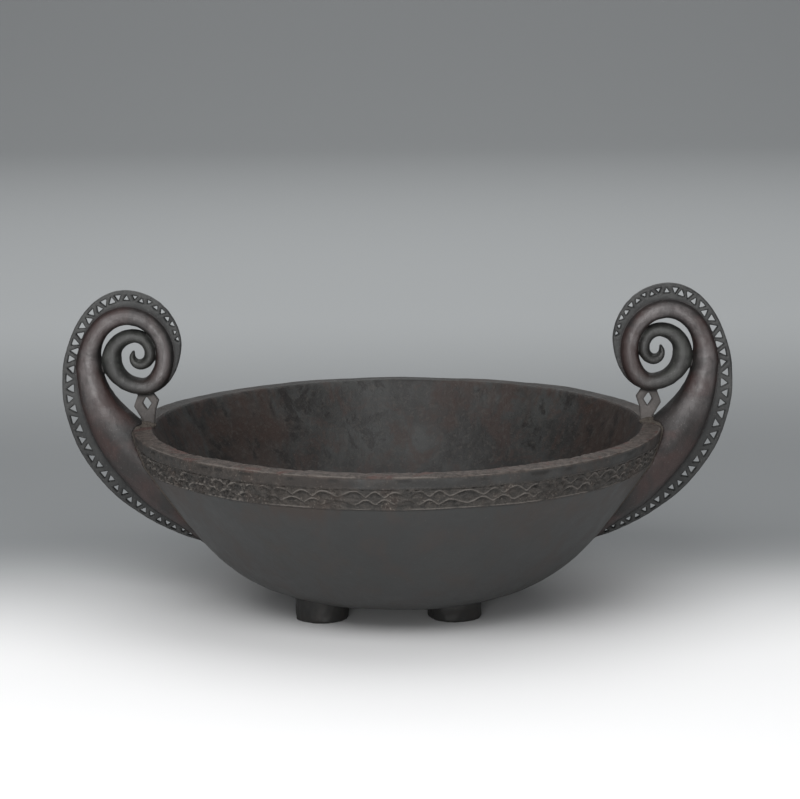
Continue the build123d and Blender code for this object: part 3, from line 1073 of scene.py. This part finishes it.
def crest_piercings(edge):
    """Triangles along the crest, pointing in and out by turns and shrinking to its ends."""
    random = np.random.default_rng(SEED + PIERCING_SEED)
    lengths = np.concatenate([[0], np.cumsum(np.linalg.norm(np.diff(edge, axis=0), axis=1))])
    last = lengths[-1] - PIERCING_END_GAP
    places = piercing_places(last)
    triangles = []
    for index, (along, spacing) in enumerate(zip(places, np.gradient(places))):
        off_end = min(along - PIERCING_START, last - along) / PIERCING_TAPER
        share = min(1, PIERCING_LEAST + (1 - PIERCING_LEAST) * off_end)
        size = PIERCING_SIZE * share * random.uniform(*PIERCING_SIZE_SPREAD)
        along += random.uniform(*PIERCING_PLACE_SPREAD)
        point, ahead = (
            np.array([np.interp(place, lengths, edge[:, 0]), np.interp(place, lengths, edge[:, 1])])
            for place in (along, along + 1)
        )
        forward = (ahead - point) / np.linalg.norm(ahead - point)
        inward = np.array([-forward[1], forward[0]])
        base, apex = PIERCING_MARGIN * share, PIERCING_MARGIN * share + size
        if index % 2:
            base, apex = apex, base
        lean = random.uniform(*PIERCING_LEAN) * size
        narrowed = 1 - PIERCING_NARROWING + PIERCING_NARROWING * share
        half_base = PIERCING_HALF_BASE * spacing * narrowed
        half_base *= random.uniform(*PIERCING_BASE_SPREAD)
        triangles.append((
            point + inward * base - forward * half_base,
            point + inward * base + forward * half_base,
            point + inward * apex + forward * lean,
        ))
    return triangles


def scroll_field(plane_x, plane_z, level):
    """The scroll's field, and how many turns its middle line has made at the nearest point."""
    line = quarter_turns(SCROLL_LINE, LINE_STEPS)
    turns = np.arange(len(line)) / LINE_STEPS
    table = np.array(SCROLL_SECTIONS)
    tip_line = np.linspace(SCROLL_TIP, line[0], TIP_STEPS, endpoint=False)
    tip_turns = np.linspace(table[0, 0], 0, TIP_STEPS, endpoint=False)
    line = np.vstack([tip_line, line])
    turns = np.concatenate([tip_turns, turns])
    widths = np.interp(turns, table[:, 0], table[:, 1])
    thicknesses = np.interp(turns, table[:, 0], table[:, 2])
    nearness = np.full(plane_x.shape, np.inf)
    width = np.ones(plane_x.shape)
    thickness = np.ones(plane_x.shape)
    nearest_turn = np.zeros(plane_x.shape)
    for (point_x, point_z), turn, half_width, half_thickness in zip(line, turns, widths, thicknesses):
        share = np.hypot(plane_x - point_x, plane_z - point_z) / half_width
        closer = share < nearness
        nearness = np.where(closer, share, nearness)
        width = np.where(closer, half_width, width)
        thickness = np.where(closer, half_thickness, thickness)
        nearest_turn = np.where(closer, turn, nearest_turn)
    nearest_turn = np.where(nearness < ON_SCROLL, nearest_turn, turns[-1])
    power = SCROLL_ROUNDNESS
    across = (level / thickness[:, None, :]) ** power
    field = (nearness[:, None, :] ** power + across) ** (1 / power) - 1
    return field * np.minimum(width, thickness)[:, None, :], nearest_turn


def stem_field(x, z, level):
    """The stem and root: level ellipses that change with height."""
    inner, outer, half = section_curve(z, STEM_SECTIONS).T
    middle, reach = (inner + outer) / 2, (outer - inner) / 2
    stem = np.sqrt(((x[:, None, None] - middle) / reach) ** 2 + (level / half) ** 2) - 1
    stem = stem * np.minimum(reach, half) * STEM_STEEPNESS
    heights = z[None, None, :]
    bottom, top = STEM_SECTIONS[0][0], STEM_SECTIONS[-1][0]
    return np.maximum(stem, np.maximum(heights - top, bottom - heights))


def plate_field(plane_x, plane_z, level):
    """The pierced crest and the strut, as flat plates with softened edges."""
    edge = crest_edge()
    scroll_line = quarter_turns(SCROLL_LINE, LINE_STEPS)
    inner_edge = scroll_line[CREST_FIRST_TURN * LINE_STEPS :: CREST_LINE_EVERY]
    crest = polygon_distance(plane_x, plane_z, np.vstack([edge, inner_edge, CREST_ROOT]))
    for triangle in crest_piercings(edge):
        middle_x, middle_z = np.mean(triangle, axis=0)
        near = np.hypot(plane_x - middle_x, plane_z - middle_z) < 2 * PIERCING_SIZE
        hole = polygon_distance(plane_x[near], plane_z[near], triangle)
        crest[near] = np.maximum(crest[near], -hole)
    strut = polygon_distance(plane_x, plane_z, STRUT_OUTLINE)
    strut = np.maximum(strut, -polygon_distance(plane_x, plane_z, STRUT_HOLE))
    plane = np.minimum(crest, strut)[:, None, :]
    return soft_max(plane, level - CREST_HALF_THICKNESS, PLATE_EDGE_SOFTNESS)


def block_field(x, y, z):
    """The distance to the bowl as a solid block, up to a little over its rim."""
    outline = np.vstack([bezier(BELLY_CURVE, BLOCK_STEPS), BLOCK_TOP])
    low_part = z < BLOCK_CEILING
    radii = np.arange(*BLOCK_RADII)
    table = polygon_distance(*np.meshgrid(radii, z[low_part], indexing="ij"), outline)
    place = np.sqrt(x[:, None] ** 2 + y[None, :] ** 2) - radii[0]
    place = np.clip(place, 0, len(radii) - 2)
    index = place.astype(int)
    share = (place - index)[:, :, None]
    block = np.full((len(x), len(y), len(z)), FAR_AWAY)
    block[:, :, low_part] = table[index] * (1 - share) + table[index + 1] * share
    return block


def handle_fields():
    """The right handle's grid, and the fields of its parts and of the bowl's block."""
    low = HANDLE_LOW - GRID_MARGIN_LOW
    high = HANDLE_HIGH + GRID_MARGIN_HIGH
    size = np.ceil((high - low) / GRID_STEP).astype(int)
    x, y, z = (low[axis] + GRID_STEP * np.arange(size[axis]) for axis in range(3))
    plane_x, plane_z = np.meshgrid(x, z, indexing="ij")
    level = np.abs(y)[None, :, None]
    scroll, nearest_turn = scroll_field(plane_x, plane_z, level)
    return {
        "low": low,
        "axes": (x, y, z),
        "body": soft_min(scroll, stem_field(x, z, level), STEM_JOIN),
        "plate": plate_field(plane_x, plane_z, level),
        "block": block_field(x, y, z),
        "turn": np.repeat(nearest_turn[:, None, :], len(y), axis=1),
    }


def build_handle(fields):
    """The right handle's mesh: scroll, stem, pierced crest and strut, hollowed to fit the bowl."""
    low, body, plate = fields["low"], fields["body"], fields["plate"]
    shape = np.maximum(np.minimum(body, plate), PASTE_THICKNESS - fields["block"])
    vertices, quads = surface_net(shape, low, GRID_STEP)
    places = (vertices - low) / GRID_STEP
    off_body = sampled(body, places)
    off_plate = sampled(plate, places)
    turn = sampled(fields["turn"], places)
    smoothing = SMOOTHING_SHARE * smooth_step(off_plate, *OFF_PLATE)
    vertices = smoothed(vertices, quads, smoothing, SMOOTHING_ROUNDS)
    normals = vertex_normals(vertices, quads)
    unevenness = rippled(vertices, HANDLE_CARVING) - HANDLE_CARVING[0][0]
    vertices = vertices + normals * unevenness[:, None]
    facing_front = np.abs(normals[:, 1])
    crest = smooth_step(off_body, *ON_CREST)
    strut_side, strut_top = STRUT_OUTLINE[-2][0] + STRUT_MARGIN, STRUT_OUTLINE[0][1]
    above_rim = (vertices[:, 2] < strut_top) & (vertices[:, 2] > RIM_HEIGHT)
    on_strut = (vertices[:, 0] < strut_side) & above_rim
    junction = rib(off_body + off_plate, 0, JUNCTION_WIDTH)
    steep_side = (1 - crest) * (1 - smooth_step(facing_front, *STEEP_SIDE))
    shares = {
        "crest": crest,
        # painted shade along the junction and on the steep sides
        "crevice": np.maximum(junction, STEEP_SIDE_SHADE * steep_side),
        # the front-facing crown, painted lighter as a painted highlight
        "crown": smooth_step(facing_front, *CROWN) * (1 - crest),
        "polish": smooth_step(vertices[:, 2], *POLISHED_HEIGHTS),
        "inner": 1 - smooth_step(turn, *INNER_TURN),
        "strut": crest * on_strut,
    }
    return vertices, quads, shares


def build_bed_paste(fields):
    """The paste between the right handle and the wall, squeezed out a little all round."""
    x, y, z = (axis[::PASTE_NOISE_EVERY] for axis in fields["axes"])
    points = np.stack(np.meshgrid(x, y, z, indexing="ij"), -1)
    spread = PASTE_CREEP * ripple(points, *PASTE_CREEP_RIPPLE)
    for axis, count in enumerate(fields["body"].shape):
        spread = np.repeat(spread, PASTE_NOISE_EVERY, axis).take(range(count), axis)
    footprint = np.minimum(fields["body"], fields["plate"]) - PASTE_SPREAD - spread
    block = fields["block"]
    layer = np.maximum(block - PASTE_THICKNESS - PASTE_BULGE, -block - PASTE_BITE)
    return surface_net(np.maximum(footprint, layer), fields["low"], GRID_STEP)


def build_strut_paste():
    """The mound of paste round the right strut's foot."""
    x, y, z = (PAD_GRID_LOW[axis] + PAD_STEP * np.arange(PAD_GRID_COUNTS[axis]) for axis in range(3))
    grid = np.stack(np.meshgrid(x, y, z, indexing="ij"), -1)
    reach = np.linalg.norm((grid - PAD_MIDDLE) / PAD_REACH, axis=-1)
    mound = rippled(grid, PAD_LUMPS, (reach - 1) * PAD_FIELD_SCALE)
    mound = np.maximum(mound, (reach - PAD_LIMIT) * PAD_FIELD_SCALE)
    mound = np.maximum(mound, RIM_HEIGHT - PAD_DEPTH - grid[..., 2])
    return surface_net(mound, PAD_GRID_LOW, PAD_STEP)


def mirrored(vertices, quads):
    """The left-hand copy of a right-hand mesh, with its scroll set a little lower."""
    flipped = vertices * np.array([-1, 1, 1])
    flipped[:, 0] += LEFT_HANDLE_SHIFT * smooth_step(flipped[:, 2], *SHIFTED_HEIGHTS)
    flipped[:, 2] -= LEFT_HANDLE_DROP * smooth_step(flipped[:, 2], *DROPPED_HEIGHTS)
    return flipped, quads[:, ::-1]


def place_piece(piece, node):
    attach(piece, "root")
    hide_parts(node)


# ---- assembly ----

bowl_material = bowl_wood()
place_piece(build_bowl(bowl_material), "bowl")
for side, along in (("left", -1), ("right", 1)):
    for end, across in (("front", -1), ("back", 1)):
        foot_x = FOOT_GROUP_X + along * FOOT_SPREAD_X
        foot = build_foot(f"foot_{end}_{side}", foot_x, across * FOOT_SPREAD_Y, bowl_material)
        # the feet are painted dark: painted shade under the bowl's belly
        set_attribute(foot, "wear_and_painted_light", np.full(len(foot.data.vertices), -FOOT_SHADE))
        place_piece(foot, "bowl")

fields = handle_fields()
paste_material = nut_paste()
handle_parts = (
    ("handle", build_handle(fields), handle_wood(), "handle_wood"),
    ("bed_paste", (*build_bed_paste(fields), {}), paste_material, "nut_paste"),
    ("strut_paste", (*build_strut_paste(), {}), paste_material, "nut_paste"),
)
for side in ("right", "left"):
    for name, (vertices, quads, looks), material, slot_name in handle_parts:
        if side == "left":
            vertices, quads = mirrored(vertices, quads)
        piece = make_object(f"{name}_{side}_carved", vertices, quads.tolist(), material)
        for look, share in looks.items():
            set_attribute(piece, look, share)
        place_piece(piece, f"{name}_{side}")

# ---- stage, camera and light ----

FLOOR_HALF_WIDTH = 14.0
FLOOR_FRONT = -12.0
SWEEP_START = 6.0
SWEEP_RADIUS = 2.0
SWEEP_ANGLES = np.linspace(6, 90, 15)
SWEEP_TOP = 8.0

CAMERA_ELEVATION = 10.94
CAMERA_DISTANCE = 12.0552  # in rim radii
CAMERA_ROLL = -0.5
CAMERA_LENS = 143.0
CAMERA_SENSOR = 36.0
CAMERA_SHIFT = (0.0034, 0.0288)
CAMERA_CLIP = 50.0

# Each light's name, place, the point it faces, width, height and power.
LIGHTS = (
    ("key", (-0.7, -2.8, 2.8), (0, -0.4, 0.1), 3.0, 2.0, 92),
    ("front", (-0.4, -5.0, 0.7), (0, 0, 0.3), 1.8, 1.2, 95),
    ("top", (0.2, 0.4, 3.2), (0, 0, 0.1), 4.0, 3.0, 42),
    ("backdrop", (0, 4.4, 3.6), (0, 4.0, 0), 6.0, 3.0, 90),
)
SKY = colour(0.75, 0.76, 0.78)
SKY_STRENGTH = 0.38


def build_stage():
    """A floor that sweeps up into a plain wall."""
    outline = [(FLOOR_FRONT, 0.0), (SWEEP_START, 0.0)]
    for angle in np.radians(SWEEP_ANGLES):
        y = SWEEP_START + SWEEP_RADIUS * math.sin(angle)
        outline.append((y, SWEEP_RADIUS * (1 - math.cos(angle))))
    outline.append((SWEEP_START + SWEEP_RADIUS, SWEEP_TOP))
    vertices = []
    for y, z in outline:
        for x in (-FLOOR_HALF_WIDTH, FLOOR_HALF_WIDTH):
            vertices.append((x / MM, y / MM, z / MM))
    faces = [[2 * k, 2 * k + 1, 2 * k + 3, 2 * k + 2] for k in range(len(outline) - 1)]
    floor = make_object("studio_floor", vertices, faces, floor_painted_light())


def add_light(name, place, target, width, height, power):
    light = bpy.data.lights.new(name, "AREA")
    light.shape = "RECTANGLE"
    light.size = width
    light.size_y = height
    light.energy = power
    lamp = bpy.data.objects.new(name, light)
    lamp.location = place
    lamp.rotation_euler = (Vector(target) - Vector(place)).to_track_quat("-Z", "Y").to_euler()
    bpy.context.scene.collection.objects.link(lamp)


def add_camera():
    """A long lens in front of the bowl, a little above its rim."""
    elevation = math.radians(CAMERA_ELEVATION)
    camera_data = bpy.data.cameras.new("camera")
    camera_data.lens = CAMERA_LENS
    camera_data.sensor_width = CAMERA_SENSOR
    camera_data.shift_x, camera_data.shift_y = CAMERA_SHIFT
    camera_data.clip_end = CAMERA_CLIP
    camera = bpy.data.objects.new("camera", camera_data)
    target = Vector((0, 0, RIM_HEIGHT * MM))
    away = Vector((0, -math.cos(elevation), math.sin(elevation)))
    place = target + away * (CAMERA_DISTANCE * RIM_RADIUS * MM)
    turn = (-away).to_track_quat("-Z", "Y").to_matrix().to_4x4()
    roll = Matrix.Rotation(math.radians(CAMERA_ROLL), 4, "Z")
    camera.matrix_world = Matrix.Translation(place) @ turn @ roll
    bpy.context.scene.collection.objects.link(camera)
    bpy.context.scene.camera = camera


build_stage()
add_camera()
for light in LIGHTS:
    add_light(*light)
world = bpy.data.worlds.new("world")
world.use_nodes = True
background = world.node_tree.nodes["Background"]
background.inputs["Color"].default_value = SKY
background.inputs["Strength"].default_value = SKY_STRENGTH
bpy.context.scene.world = world
bpy.context.scene.view_settings.view_transform = "Standard"
